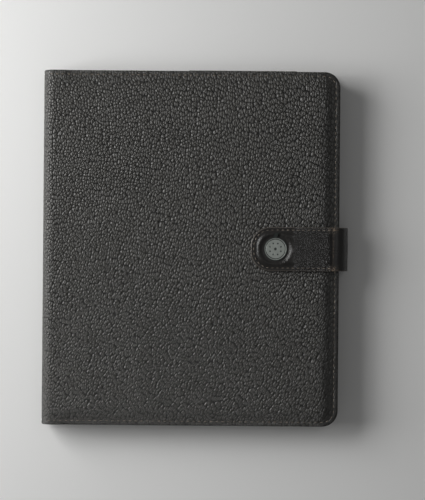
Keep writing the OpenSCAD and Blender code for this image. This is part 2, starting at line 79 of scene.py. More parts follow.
HALF_W = high("front_leather")[0]
HALF_L = high("front_leather")[1]
TOP = high("front_leather")[2]
BOARD_X = low("back_board")[0]
FOLD_GAP = 5.6 * MM
FOLD_X = BOARD_X - FOLD_GAP
SPINE_R = HALF_W + FOLD_X
SPINE_MID = TOP / 2
FRONT_FACE = low("front_lining")[2]
BACK_FACE = low("wall_boards")[2]
SPINE_FACE = high("spine_lining")[0]
STRAP_X = high("bridge_leather")[0]
STRAP_HALF = high("tab_leather")[1]
TAB_X = low("tab_leather")[0]
TAB_TOP = high("snap_cap")[2] - 0.85 * MM
SNAP_X = (low("snap_cap")[0] + high("snap_cap")[0]) / 2
CAP_R = (high("snap_cap")[0] - low("snap_cap")[0]) / 2

# Depth of the gutters beside the spine, under the faces of the case
GUTTER = 1.8 * MM
# The strap: its two bends, the height of its foot, its fold mark and its seam's inset
STRAP_BEND = 10.5 * MM
ROOT_BEND = 6 * MM
STRAP_FOOT = 1.2 * MM
CREASE_X = 102.5 * MM
STRAP_SEAM = 2.1 * MM


# ---- Settings ----

def length(name, description, default):
    return bpy.props.FloatProperty(
        name=name, description=description, default=default, min=0.0, unit="LENGTH", precision=5
    )


def share(name, description, default):
    return bpy.props.FloatProperty(
        name=name, description=description, default=default, min=0.0, max=1.0, subtype="FACTOR"
    )


def colour(name, description, default):
    return bpy.props.FloatVectorProperty(
        name=name, description=description, default=default, size=3, min=0.0, max=1.0, subtype="COLOR"
    )


def power(name, description, default):
    return bpy.props.FloatProperty(name=name, description=description, default=default, min=0.0, unit="POWER")


class CoverSettings(bpy.types.PropertyGroup):
    """Sizes of the two wrapped covers"""
    corner: length("Corner radius", "Radius of the two corners at the fore-edge", 11.5 * MM)
    padding: length("Padding", "Height of the padded front over its stitched border", 1.3 * MM)
    border: length("Border", "Width of the flat border that is stitched down", 3.5 * MM)
    roll: length("Roll", "Width over which the padding rolls down to the border", 8.5 * MM)
    edge: length("Edge", "Thickness of a cover at its wrapped edge", 2.7 * MM)
    spine_edge: length("Spine edge", "Thickness of the folded leather at the spine's ends", 1.7 * MM)
    rim: length("Rim radius", "Rounding of the wrapped edge", 1.1 * MM)
    leather: length("Leather", "Thickness of the visible leather shell", 0.5 * MM)
    sag: length("Unevenness", "Height of the slow waves in the padding", 0.22 * MM)


class StrapSettings(bpy.types.PropertyGroup):
    """Sizes of the closing strap"""
    end_radius: length("End radius", "Rounding of the strap's free end", 14.2 * MM)
    puff: length("Puff", "Height of the filler under the strap's free part", 1.1 * MM)
    border: length("Border", "Width of the strap's stitched border", 3.0 * MM)
    roll: length("Roll", "Width over which the filler rolls down to the border", 3.5 * MM)
    leather: length("Leather", "Thickness of the strap's leather", 1.2 * MM)
    lining: length("Lining", "Thickness of the strap's lining", 0.8 * MM)
    dish_floor: length("Dish floor", "Radius of the flat floor under the cap", 8.9 * MM)
    dish: length("Dish", "Radius at which the dish meets the puffed leather", 12.6 * MM)


class ThreadSettings(bpy.types.PropertyGroup):
    """The stitching"""
    pitch: length("Pitch", "Distance from one stitch to the next", 4.2 * MM)
    stitch: length("Stitch", "Length of thread that shows between two holes", 2.1 * MM)
    thick: length("Thickness", "Thickness of the thread", 0.5 * MM)
    inset: length("Inset", "Distance of the seam from the edge of a cover", 3.1 * MM)
    strap_pitch: length("Strap pitch", "Distance between stitches on the strap", 3.7 * MM)


class FinishSettings(bpy.types.PropertyGroup):
    """Colours of the finishes"""
    # The grain's tops are lighter than its valleys: partly the leather's own two-tone, partly painted
    # highlight on the tops and painted shade in the valleys
    cover: colour("Cover leather", "Tops of the grain on the covers", (0.064, 0.062, 0.056))
    cover_dark: colour("Cover valleys", "Valleys of the grain on the covers", (0.007, 0.0068, 0.006))
    strap: colour("Strap leather", "Smooth leather of the strap", (0.013, 0.012, 0.011))
    inner: colour("Inner leather", "Fine leather of the bay, bezel and pockets", (0.040, 0.031, 0.026))
    suede: colour("Suede lining", "Brushed cloth inside the covers", (0.075, 0.060, 0.048))
    thread: colour("Thread", "Waxed sewing thread", (0.26, 0.22, 0.18))
    board: colour("Board", "Raw greyboard stiffeners", (0.32, 0.28, 0.22))
    pewter: colour("Pewter", "Face of the snap cap", (0.42, 0.45, 0.42))
    nickel: colour("Nickel", "Working parts of the press stud", (0.62, 0.60, 0.56))
    floor: colour("Floor", "Plain pale table top", (0.78, 0.78, 0.77))


class StudioSettings(bpy.types.PropertyGroup):
    """Lights and camera"""
    window: power("Window light", "Large soft light from the left", 4.6)
    low: power("Low light", "Panel beside the spine, near the table", 9.0)
    fill: power("Fill light", "Weak light from overhead", 1.0)
    sky: share("Sky", "Brightness all round", 0.13)
    distance: length("Camera distance", "Height of the camera over the cover", 1.5)
    view_height: length("View height", "Height of the picture at the cover's top", 360.5 * MM)


def settings(name):
    return getattr(bpy.context.scene, "case_" + name)


# ---- Routes made of straight runs and arcs ----

class Route:
    """A flat route through corner points, each corner rounded by its own radius"""

    def __init__(self, points, radii):
        self.runs = []
        self.length = 0.0
        start = Vector(points[0])
        for i, radius in enumerate(radii):
            before, corner, after = (Vector(p) for p in points[i:i + 3])
            a, b = (corner - before).normalized(), (after - corner).normalized()
            turn = math.atan2(a.x * b.y - a.y * b.x, a.dot(b))
            cut = radius * math.tan(abs(turn) / 2)
            self.add(start, a, 0.0, (corner - a * cut - start).length)
            self.add(corner - a * cut, a, turn, radius * abs(turn))
            start = corner + b * cut
        end = Vector(points[-1])
        self.add(start, (end - start).normalized(), 0.0, (end - start).length)

    def add(self, start, heading, turn, run):
        self.runs.append((self.length, start, heading, turn, run))
        self.length += run

    def at(self, distance):
        """Point and heading at a distance along the route"""
        begin, start, heading, turn, run = next(
            r for r in reversed(self.runs) if distance >= r[0] or r is self.runs[0]
        )
        gone = distance - begin
        if turn == 0.0:
            return start + heading * gone, heading
        angle = turn * gone / run
        radius = run / abs(turn)
        left = Vector((-heading.y, heading.x)) * math.copysign(radius, turn)
        spun = Matrix.Rotation(angle, 2)
        return start + left - spun @ left, spun @ heading


def ease(t):
    """0 to 1 with level ends"""
    t = min(max(t, 0.0), 1.0)
    return t * t * (3 - 2 * t)


def bell(distance, width):
    return math.exp(-((distance / width) ** 2))


# ---- Wrapped skins ----

class Edge:
    """Cross-section of an edge: turned under, round, up the side, round, border, roll"""

    def __init__(self, under, low_r, thick, top_r, border, roll):
        self.under, self.low_r, self.top_r = under, low_r, top_r
        self.border, self.roll = border, roll
        quarter = math.pi / 2
        self.spans = (under, low_r * quarter, thick - low_r - top_r, top_r * quarter, border - top_r, roll)
        # Flat distance from the cut edge at which the folded edge would lie
        self.wrap = sum(self.spans[:4]) - top_r

    def at(self, flat, thick, border_depth, level_depth):
        """Inset and depth at a flat distance from the cut edge"""
        part, left = 0, flat
        while part < 6 and left > self.spans[part]:
            left -= self.spans[part]
            part += 1
        if part == 6:
            return flat - self.wrap, level_depth
        t = left / self.spans[part]
        angle = t * math.pi / 2
        foot = border_depth + thick
        if part == 0:
            return self.low_r + self.under * (1 - t), foot
        if part == 1:
            return self.low_r * (1 - math.sin(angle)), foot - self.low_r * (1 - math.cos(angle))
        if part == 2:
            return 0.0, foot - self.low_r - t * (thick - self.low_r - self.top_r)
        if part == 3:
            return self.top_r * (1 - math.cos(angle)), border_depth + self.top_r * (1 - math.sin(angle))
        if part == 4:
            return flat - self.wrap, border_depth
        return flat - self.wrap, border_depth + (level_depth - border_depth) * (1 - math.cos(math.pi * t)) / 2

    def rows(self, counts):
        """Flat distances of the rows of points across the edge"""
        places, start = [0.0], 0.0
        for span, count in zip(self.spans, counts):
            places += [start + span * (i + 1) / count for i in range(count)]
            start += span
        return places


class Skin:
    """A flat cut piece laid along a route in XZ and wrapped over one end and both long edges"""

    def __init__(self, route, outward, half_width, corner, edge, lay, relief=None, u0=0.0, u_sign=1.0):
        self.route, self.outward, self.half_width = route, outward, half_width
        self.corner, self.edge, self.lay, self.relief = corner, edge, lay, relief
        self.u0, self.u_sign = u0, u_sign

    def lift(self, run, inset_y, sign, rise):
        """Position and outward normal at a run along the route and an inset from a long edge"""
        (x, z), heading = self.route.at(run)
        normal = Vector((-heading.y, 0, heading.x)) * self.outward
        return Vector((x, sign * (self.half_width - inset_y), z)) + normal * rise, normal

    def place(self, down, side, sign):
        """Position, pattern place and distance from the folded edge of a point on the cut piece"""
        wrap, corner = self.edge.wrap, self.corner
        full = wrap + corner
        p, q = full - down, full - side
        y = sign * (self.half_width - max(side - wrap, 0.0))
        lay = self.lay(max(down - wrap, 0.0), y)
        if p > 0 and q > 0:
            reach = max(p, q)
            turn = q / p if p >= q else 2 - p / q
            turn *= math.pi / 4
            lead = full - reach
            inset, depth = self.edge.at(lead, *lay)
            run = corner - (corner - inset) * math.cos(turn)
            inset_y = corner - (corner - inset) * math.sin(turn)
            flat = (full - reach * math.cos(turn), full - reach * math.sin(turn))
        else:
            run, depth_a = self.edge.at(down, *lay)
            inset_y, depth_b = self.edge.at(side, *lay)
            depth, lead = max(depth_a, depth_b), min(down, side)
            flat = (down, side)
        rise = -depth
        if self.relief:
            rise += self.relief(run, sign * (self.half_width - inset_y), lead - wrap)
        position, _ = self.lift(run, inset_y, sign, rise)
        pattern = (self.u0 + self.u_sign * (flat[0] - wrap), sign * (self.half_width + wrap - flat[1]))
        return position, pattern, lead - wrap

    def mesh(self, name, down_rows, across_rows, thick, first=0.0):
        """The skin as a closed shell"""
        down = [r for r in down_rows if r >= first]
        total = 2 * (self.half_width + self.edge.wrap)
        bpy.ops.object.select_all(action="DESELECT")
        bpy.ops.mesh.primitive_grid_add(
            x_subdivisions=len(down) - 1, y_subdivisions=len(across_rows) - 1, size=2, location=(0, 0, 0)
        )
        piece = bpy.context.object
        piece.name = name
        points, pattern, insets = [], [], []
        for vertex in piece.data.vertices:
            i = round((vertex.co.x + 1) / 2 * (len(down) - 1))
            j = round((vertex.co.y + 1) / 2 * (len(across_rows) - 1))
            across = across_rows[j]
            sign = -1 if across < total / 2 else 1
            position, place, inset = self.place(down[i], min(across, total - across), sign)
            points.append(position)
            pattern.append(place)
            insets.append(inset)
        lay_points(piece, points, pattern, insets)
        run = down[len(down) // 2] - self.edge.wrap
        level, normal = self.lift(run, self.half_width, 1, 0.0)
        nearest = min(piece.data.polygons, key=lambda face: (face.center - level).length)
        if nearest.normal.dot(normal) < 0:
            edit(piece, lambda: bpy.ops.mesh.flip_normals())
        shell = piece.modifiers.new("wall", "SOLIDIFY")
        shell.thickness = thick
        shell.offset = -1.0
        apply_modifiers(piece)
        smooth(piece, 60)
        return piece

    def seam(self, inset, pitch, stop, depth=0.0):
        """Places and headings of stitches from one long edge round the free end to the other"""
        corner, wide = self.corner, self.half_width
        straight = stop - corner
        arc = (corner - inset) * math.pi / 2
        end = 2 * (wide - corner)
        total = 2 * straight + 2 * arc + end
        count = round(total / pitch)
        places = []
        for k in range(count):
            s = (k + 0.5) * total / count
            sign = -1 if s < total / 2 else 1
            s = min(s, total - s)
            if s < straight:
                run, inset_y, turn = stop - s, inset, math.pi / 2
            elif s < straight + arc:
                turn = math.pi / 2 * (1 - (s - straight) / arc)
                run = corner - (corner - inset) * math.cos(turn)
                inset_y = corner - (corner - inset) * math.sin(turn)
            else:
                run, inset_y, turn = inset, corner + s - straight - arc, 0.0
            _, border_depth, _ = self.lay(run, sign * (wide - inset_y))
            position, normal = self.lift(run, inset_y, sign, -border_depth - depth)
            _, heading = self.route.at(run)
            along = Vector((heading.x, 0, heading.y)) * math.sin(turn)
            tangent = along + Vector((0, sign * math.cos(turn), 0))
            places.append((position, tangent, normal))
        return places


# ---- Modelling helpers ----

def edit(piece, *steps):
    """Runs edit-mode steps with the whole piece selected"""
    only(piece)
    bpy.ops.object.mode_set(mode="EDIT")
    bpy.ops.mesh.select_all(action="SELECT")
    for step in steps:
        step()
    bpy.ops.object.mode_set(mode="OBJECT")


def only(piece):
    bpy.ops.object.select_all(action="DESELECT")
    piece.select_set(True)
    bpy.context.view_layer.objects.active = piece


def apply_modifiers(piece):
    only(piece)
    for modifier in list(piece.modifiers):
        bpy.ops.object.modifier_apply(modifier=modifier.name)


def smooth(piece, degrees):
    only(piece)
    bpy.ops.object.shade_smooth_by_angle(angle=math.radians(degrees))


def settle(piece):
    """Puts a piece's place into its mesh"""
    only(piece)
    bpy.ops.object.transform_apply(location=True, rotation=True, scale=True)


def lay_points(piece, points, pattern, insets):
    """Moves the points of a flat grid to their places, with the pattern and the distance from the edge"""
    mesh = piece.data
    mesh.vertices.foreach_set("co", [c for point in points for c in point])
    corners = mesh.uv_layers.active.data
    for loop in mesh.loops:
        corners[loop.index].uv = pattern[loop.vertex_index]
    field = mesh.attributes.new("inset", "FLOAT", "POINT")
    field.data.foreach_set("value", insets)
    mesh.update()


def spread(start, stop, step):
    """Evenly spaced distances after start up to and including stop"""
    count = max(1, round((stop - start) / step))
    return [start + (stop - start) * (i + 1) / count for i in range(count)]


def mirrored(rows, total):
    """Rows over half a width, repeated from the other edge"""
    return rows + [total - r for r in reversed(rows) if total - r > rows[-1] + 1e-7]


def dress(piece, material):
    """Gives a piece its finish"""
    piece.data.materials.clear()
    piece.data.materials.append(material)


def sewn(name, places, body, material, size=None):
    """A row of stitches as one piece, each a short length of thread sunk at both ends"""
    thread = settings("thread")
    long, thick = size or (thread.stitch, thread.thick)
    bpy.ops.object.select_all(action="DESELECT")
    bpy.ops.mesh.primitive_uv_sphere_add(segments=8, ring_count=6, radius=1.0, location=(0, 0, 0))
    pattern = bpy.context.object
    pattern.data.transform(Matrix.Rotation(math.pi / 2, 4, "Y"))
    pattern.data.transform(Matrix.Diagonal((long / 2, thick / 2, thick / 2, 1)))
    stitches = [pattern]
    for _ in places[1:]:
        copy = pattern.copy()
        copy.data = pattern.data.copy()
        bpy.context.collection.objects.link(copy)
        stitches.append(copy)
    for stitch, (position, tangent, normal) in zip(stitches, places):
        side = normal.cross(tangent)
        turn = Matrix((tangent, side, normal)).transposed().to_4x4()
        stitch.data.transform(Matrix.Translation(position) @ turn)
    bpy.ops.object.select_all(action="DESELECT")
    for stitch in stitches:
        stitch.select_set(True)
    bpy.context.view_layer.objects.active = pattern
    bpy.ops.object.join()
    pattern.name = name
    smooth(pattern, 80)
    dress(pattern, material)
    if body:
        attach(pattern, body)
    return pattern


def flat_seam(route, height, up, pitch):
    """Places for stitches along a route drawn in plan"""
    count = round(route.length / pitch)
    places = []
    for k in range(count):
        (x, y), heading = route.at((k + 0.5) * route.length / count)
        places.append((Vector((x, y, height)), Vector((heading.x, heading.y, 0)), Vector((0, 0, up))))
    return places


def softened(node, bevel, segments=2, degrees=35):
    """A copy of a rigid node with its corners eased, in the node's stead"""
    piece = bpy.data.objects.new("soft_" + node, NODES[node].data.copy())
    bpy.context.collection.objects.link(piece)
    edit(
        piece,
        lambda: bpy.ops.mesh.remove_doubles(threshold=1e-6),
        lambda: bpy.ops.mesh.dissolve_limited(angle_limit=math.radians(1)),
    )
    ease_edges = piece.modifiers.new("eased", "BEVEL")
    ease_edges.width = bevel
    ease_edges.segments = segments
    ease_edges.limit_method = "ANGLE"
    ease_edges.angle_limit = math.radians(degrees)
    apply_modifiers(piece)
    smooth(piece, 40)
    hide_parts(node)
    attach(piece, BODY_OF[node])
    return piece


# ---- Finishes ----

class Value:
    """A shader output on which arithmetic adds Math nodes"""

    def __init__(self, finish, socket):
        self.finish, self.socket = finish, socket

    def math(self, operation, *others):
        sockets = dict(enumerate((self,) + others))
        return self.finish.add("ShaderNodeMath", sockets, operation=operation)

    def __add__(self, other):
        return self.math("ADD", other)

    def __sub__(self, other):
        return self.math("SUBTRACT", other)

    def __rsub__(self, other):
        return self.finish.add("ShaderNodeMath", {0: other, 1: self}, operation="SUBTRACT")

    def __mul__(self, other):
        return self.math("MULTIPLY", other)

    def __truediv__(self, other):
        return self.math("DIVIDE", other)

    __radd__ = __add__
    __rmul__ = __mul__


class Finish:
    """A node material being put together"""

    def __init__(self, name, metallic=0.0, specular=0.5, sheen=0.0):
        self.material = bpy.data.materials.new(name)
        self.material.use_nodes = True
        self.tree = self.material.node_tree
        self.shader = self.tree.nodes["Principled BSDF"]
        self.shader.inputs["Metallic"].default_value = metallic
        self.shader.inputs["Specular IOR Level"].default_value = specular
        self.shader.inputs["Sheen Weight"].default_value = sheen
        self.shader.inputs["Sheen Roughness"].default_value = 0.4

    def add(self, kind, sockets=None, out=0, stops=None, **details):
        """One node, its settings first, then its sockets; returns one of its outputs"""
        node = self.tree.nodes.new(kind)
        for key, value in details.items():
            setattr(node, key, value)
        for at, value in stops or ():
            element = node.color_ramp.elements.new(at)
            element.color = (value, value, value, 1)
        if stops:
            node.color_ramp.elements.remove(node.color_ramp.elements[0])
            node.color_ramp.elements.remove(node.color_ramp.elements[-1])
        for key, value in (sockets or {}).items():
            if isinstance(value, Value):
                self.tree.links.new(value.socket, node.inputs[key])
            else:
                node.inputs[key].default_value = value
        return Value(self, node.outputs[out])

    def pattern(self):
        """The piece's own pattern, in metres"""
        return self.add("ShaderNodeUVMap", uv_map="UVMap")

    def place(self):
        return self.add("ShaderNodeTexCoord", out="Object")

    def parts(self, vector):
        node = self.add("ShaderNodeSeparateXYZ", {0: vector}).socket.node
        return [Value(self, node.outputs[i]) for i in range(3)]

    def joined(self, x, y, z=0.0):
        return self.add("ShaderNodeCombineXYZ", {0: x, 1: y, 2: z})

    def noise(self, vector, scale, detail=2.0, roughness=0.5, out=0):
        return self.add(
            "ShaderNodeTexNoise",
            {"Vector": vector, "Scale": scale, "Detail": detail, "Roughness": roughness},
            out=out,
        )

    def cells(self, vector, scale, feature="F1", out=0, dimensions="2D"):
        return self.add(
            "ShaderNodeTexVoronoi",
            {"Vector": vector, "Scale": scale},
            out=out, feature=feature, voronoi_dimensions=dimensions,
        )

    def step(self, value, start, stop):
        """0 at start, 1 at stop, eased between"""
        return self.add(
            "ShaderNodeMapRange", {"Value": value, "From Min": start, "From Max": stop},
            interpolation_type="SMOOTHSTEP",
        )

    def mix(self, share_, a, b):
        node = self.tree.nodes.new("ShaderNodeMix")
        node.data_type = "RGBA"
        for key, value in ((0, share_), (6, a), (7, b)):
            if isinstance(value, Value):
                self.tree.links.new(value.socket, node.inputs[key])
            else:
                node.inputs[key].default_value = value if key == 0 else (*value, 1)
        return Value(self, node.outputs[2])

    def attribute(self, name):
        return self.add("ShaderNodeAttribute", out="Fac", attribute_name=name)

    def bump(self, height, distance, strength=1.0, under=None):
        sockets = {"Height": height, "Distance": distance, "Strength": strength}
        if under:
            sockets["Normal"] = under
        return self.add("ShaderNodeBump", sockets)

    def wear(self, base, roughness, normal):
        """Connects the shader and returns the material"""
        for key, value in (("Base Color", base), ("Roughness", roughness), ("Normal", normal)):
            if isinstance(value, Value):
                self.tree.links.new(value.socket, self.shader.inputs[key])
            elif value is not None:
                self.shader.inputs[key].default_value = (*value, 1) if key == "Base Color" else value
        return self.material


def once(build):
    """Builds a material the first time it is asked for"""
    def made():
        name = build.__name__ + "_finish"
        return bpy.data.materials.get(name) or build(name)
    return made


@once
def cover_leather(name):
    """Pebbled leather: long grain, worn smooth towards the fore-edge, where painted shade darkens its colour
    """
    f = Finish(name, specular=0.5)
    tint = settings("finish")
    pattern = f.pattern()
    u, v, _ = f.parts(pattern)
    slow = f.parts(f.noise(pattern, 34.0, detail=1.0, out=1))
    quick = f.parts(f.noise(pattern, 240.0, detail=1.0, out=1))
    a = u + (slow[0] - 0.5) * (5 * MM) + (quick[0] - 0.5) * (1.1 * MM)
    b = v + (slow[1] - 0.5) * (5 * MM) + (quick[1] - 0.5) * (1.1 * MM)
    lean = 0.36 + a * 1.1 - b * 1.7
    wide, tall = 1.55 * MM, 2.75 * MM
    sine, cosine = lean.math("SINE"), lean.math("COSINE")
    grain = f.joined((a * cosine - b * sine) / wide, (a * sine + b * cosine) / tall)
    valley = f.cells(grain, 1.0, feature="DISTANCE_TO_EDGE")
    centre = f.cells(grain, 1.0)
    tone = f.parts(f.cells(grain, 1.0, out=1))[0]
    dome = (1 - centre * centre * 1.5).math("MAXIMUM", 0.0)
    pebble = f.step(valley, 0.0, 0.2) * 0.4 + dome * 0.6
    inset = f.attribute("inset")
    open_ = f.step(inset, 1.0 * MM, 12 * MM)
    spine = 1 - f.step(u, -HALF_W + 1 * MM, -HALF_W + 9 * MM)
    # Towards the fore-edge: flattens the grain and carries painted shade in the colour
    fore_edge_wear_and_shade = f.step(u, HALF_W - 17 * MM, HALF_W - 9 * MM)
    relief = (0.4 + open_ * 0.6) * (1 - fore_edge_wear_and_shade * 0.6) * (1 - spine * 0.45) * (0.75 + tone * 0.5)
    fine = f.noise(pattern, 2600.0, detail=2.0)
    wrinkle = f.noise(f.joined(u * 180.0, v * 900.0), 1.0, detail=2.0)
    height = pebble * relief + fine * 0.08 + wrinkle * spine * 0.5
    wide_tone = f.noise(pattern, 28.0, detail=2.0)
    # Tops of the pebbles lighter, valleys darker: partly the leather's own two-tone, partly painted highlight
    # on the tops and painted shade in the valleys
    top = f.step(pebble, 0.2, 0.95)
    # Painted shade: the colour is darker within 12 mm of the edges, over the border and the roll
    shade = top * (0.75 + tone * 0.4) * (0.75 + open_ * 0.25) * (0.85 + wide_tone * 0.3)
    # Painted shade: the colour is darkened towards the fore-edge
    shade = shade * (1 - fore_edge_wear_and_shade * 0.6)
    base = f.mix(shade, tint.cover_dark, tint.cover)
    roughness = 0.44 - top * 0.12 + fine * 0.08 + (wide_tone - 0.5) * 0.10
    return f.wear(base, roughness, f.bump(height, 0.85 * MM))


@once
def strap_leather(name):
    """Smooth glossy leather with a crease, scuffs at its ends and a glossy burnished rim, lightened by a
    painted highlight
    """
    f = Finish(name, specular=0.5)
    tint = settings("finish")
    pattern = f.pattern()
    u, v, _ = f.parts(pattern)
    inset = f.attribute("inset")
    crease = CREASE_X
    lean = f.joined(u * 0.9 - v * 0.5, v * 0.9 + u * 0.4)
    grain = f.cells(lean, 1000.0, feature="DISTANCE_TO_EDGE")
    rough_part = f.step(u, SNAP_X + 11 * MM, SNAP_X + 17 * MM) * (1 - f.step(u, crease - 4 * MM, crease))
    fine = f.noise(pattern, 1800.0, detail=3.0)
    broad = f.noise(pattern, 160.0, detail=2.0)
    height = f.step(grain, 0.0, 0.28) * (0.15 + rough_part * 1.6) + fine * 0.25 + broad * 0.5
    near = 1 - f.step((u - crease).math("ABSOLUTE"), 0.4 * MM, 5.5 * MM)
    outer = f.step(v.math("ABSOLUTE"), STRAP_HALF - 5.5 * MM, STRAP_HALF - 0.5 * MM)
    fray = f.step(f.noise(pattern, 900.0, detail=3.0, roughness=0.7), 0.47, 0.60)
    line = (1 - f.step((u - crease).math("ABSOLUTE"), 0.2 * MM, 1.1 * MM)) * 0.35
    worn = (near * outer + line) * fray
    rim = 1 - f.step(inset, 0.15 * MM, 0.75 * MM)
    body = f.mix(broad * 0.8, tuple(c * 0.75 for c in tint.strap), tuple(c * 1.35 for c in tint.strap))
    # Painted highlight: the rim along the strap's edge is lightened
    body = f.mix(rim * 0.55, body, (0.16, 0.14, 0.12))
    base = f.mix(worn * 0.85, body, (0.20, 0.145, 0.10))
    roughness = 0.23 + broad * 0.12 + worn * 0.3 - rim * 0.05 + rough_part * 0.08
    return f.wear(base, roughness, f.bump(height, 0.17 * MM))


def fine_leather(name, tint, scale, distance, roughness, from_pattern=False):
    """Thin printed-grain leather"""
    f = Finish(name, specular=0.45)
    place = f.pattern() if from_pattern else f.place()
    dimensions = "2D" if from_pattern else "3D"
    grain = f.cells(place, scale, feature="DISTANCE_TO_EDGE", dimensions=dimensions)
    fine = f.noise(place, scale * 3, detail=2.0)
    broad = f.noise(place, 40.0, detail=2.0)
    top = f.step(grain, 0.0, 0.25)
    base = f.mix(top * (0.65 + broad * 0.5), tuple(c * 0.45 for c in tint), tint)
    return f.wear(base, roughness + fine * 0.12 + (broad - 0.5) * 0.1, f.bump(top + fine * 0.3, distance))


@once
def inner_leather(name):
    return fine_leather(name, settings("finish").inner, 900.0, 0.10 * MM, 0.42)


@once
def hinge_leather(name):
    return fine_leather(name, settings("finish").inner, 900.0, 0.10 * MM, 0.42, from_pattern=True)


@once
def suede_lining(name):
    """Brushed microfibre with a nap that lies in patches"""
    f = Finish(name, specular=0.2, sheen=0.25)
    tint = settings("finish").suede
    pattern = f.pattern()
    nap = f.noise(pattern, 45.0, detail=3.0)
    pile = f.noise(pattern, 3500.0, detail=2.0)
    base = f.mix(nap * 0.7 + pile * 0.3, tuple(c * 0.62 for c in tint), tuple(c * 1.3 for c in tint))
    return f.wear(base, 0.92, f.bump(pile + nap * 0.5, 0.12 * MM))


@once
def sewing_thread(name):
    """Waxed thread, twisted, a little soiled"""
    f = Finish(name, specular=0.35)
    tint = settings("finish").thread
    place = f.place()
    soil = f.noise(place, 90.0, detail=2.0)
    ply = f.noise(place, 2500.0, detail=1.0)
    base = f.mix(f.step(soil, 0.3, 0.72), tuple(c * 0.42 for c in tint), tint)
    return f.wear(base, 0.6, f.bump(ply, 0.12 * MM))


@once
def raw_board(name):
    """Grey pasteboard"""
    f = Finish(name, specular=0.3)
    tint = settings("finish").board
    place = f.place()
    fibre = f.noise(f.joined(*[axis * k for axis, k in zip(f.parts(place), (700.0, 1600.0, 900.0))]), 1.0)
    fleck = f.step(f.noise(place, 1400.0, detail=1.0), 0.62, 0.7)
    base = f.mix(fibre, tuple(c * 0.8 for c in tint), tint)
    base = f.mix(fleck * 0.4, base, tuple(c * 0.4 for c in tint))
    return f.wear(base, 0.9, f.bump(fibre, 0.08 * MM))


@once
def foam(name):
    """Open-cell foam sheet"""
    f = Finish(name, specular=0.2)
    place = f.place()
    cell = f.cells(place, 900.0, feature="DISTANCE_TO_EDGE", dimensions="3D")
    base = f.mix(f.step(cell, 0.0, 0.2), (0.16, 0.16, 0.15), (0.045, 0.045, 0.045))
    return f.wear(base, 0.95, f.bump(cell, 0.3 * MM))


@once
def pewter(name):
    """Brushed pale pewter, dark in its line and dots, with painted shadow at its rim"""
    f = Finish(name, metallic=0.8)
    tint = settings("finish").pewter
    x, y, z = f.parts(f.place())
    x = x - SNAP_X
    radius = (x * x + y * y).math("SQRT") / CAP_R
    angle = y.math("ARCTAN2", x)
    dots = 8
    turn = (angle * (dots / (2 * math.pi))).math("FRACT") - 0.5
    off = turn * (radius * (2 * math.pi / dots))
    out = radius - 0.5
    dot = 1 - f.step((off * off + out * out).math("SQRT"), 0.055, 0.085)
    centre = 1 - f.step(radius, 0.10, 0.14)
    line = 1 - f.step((radius - 0.83).math("ABSOLUTE"), 0.02, 0.045)
    rim = f.step(radius, 0.90, 0.95)
    brush = f.noise(f.joined(angle * 3.0, radius * 60.0), 1.0, detail=3.0)
    blotch = f.noise(f.joined(x, y, z), 380.0, detail=2.0)
    dark = (dot + centre + line).math("MINIMUM", 1.0)
    base = f.mix(blotch * 0.5 + brush * 0.3, tuple(c * 0.72 for c in tint), tuple(c * 1.25 for c in tint))
    # The line, dots and centre are the cap's own dark marks; the band at the rim is painted shadow
    base = f.mix((dark * 0.88 + rim * 0.9).math("MINIMUM", 0.95), base, (0.012, 0.016, 0.016))
    roughness = 0.36 + blotch * 0.14 + dark * 0.2
    return f.wear(base, roughness, f.bump(brush * 0.15 - dark, 0.12 * MM))


@once
def nickel(name):
    """Tumbled nickel plate"""
    f = Finish(name, metallic=1.0)
    tint = settings("finish").nickel
    place = f.place()
    scratch = f.noise(f.joined(*[axis * k for axis, k in zip(f.parts(place), (400.0, 2600.0, 900.0))]), 1.0)
    dull = f.noise(place, 500.0, detail=2.0)
    base = f.mix(dull, tuple(c * 0.8 for c in tint), tint)
    return f.wear(base, 0.22 + dull * 0.16, f.bump(scratch, 0.02 * MM))


@once
def table_top(name):
    """Plain pale table"""
    f = Finish(name, specular=0.3)
    tint = settings("finish").floor
    cloud = f.noise(f.place(), 6.0, detail=2.0)
    return f.wear(f.mix(cloud, tuple(c * 0.985 for c in tint), tint), 0.7, None)


# ---- The skins of this case ----

CREASE_RUN = CREASE_X - TAB_X


def cover_edge():
    cover = settings("cover")
    return Edge(1.2 * MM, 0.6 * MM, cover.edge, cover.rim, cover.border, cover.roll)


def waves(x, y, width, seed):
    """Slow unevenness of stuffed leather, from -1 to 1"""
    return noise.noise(Vector((x / width, y / width, seed))) * 1.5


def front_skin():
    cover = settings("cover")
    route = Route([(HALF_W, TOP), (-HALF_W, TOP), (-HALF_W, SPINE_MID)], [SPINE_R])
    pad_start = HALF_W - BOARD_X

    def lay(run, y):
        # The padding and the thick edge end where the gutter of the spine starts
        padded = ease((pad_start - run) / cover.roll)
        thick = cover.spine_edge + (cover.edge - cover.spine_edge) * padded
        return thick, cover.padding * padded, 0.0

    def relief(run, y, inset):
        x = HALF_W - run
        level = ease((inset - cover.border) / cover.roll) * ease((pad_start + 6 * MM - run) / (10 * MM))
        rise = cover.sag * waves(x, y, 42 * MM, 3.1) + 0.4 * cover.sag * waves(x, y, 13 * MM, 7.7)
        # The press stud draws the padding down, and leaves a faint crease above it
        from_stud = math.hypot(x - SNAP_X, y)
        stud = -cover.padding * (1 - ease((from_stud - 7 * MM) / (3.5 * MM)))
        soft = 0.0
        for cx, cy, long, lean, deep in CREASES:
            along = (y - cy) * math.cos(lean) + (x - cx) * math.sin(lean)
            off = (x - cx) * math.cos(lean) - (y - cy) * math.sin(lean)
            soft -= deep * bell(off, 1.3 * MM) * bell(along, long)
        groove = -0.22 * MM * bell(inset - settings("thread").inset, 0.55 * MM)
        return rise * level + stud + soft * level + groove

    return Skin(route, -1, HALF_L, cover.corner, cover_edge(), lay, relief, u0=HALF_W, u_sign=-1)


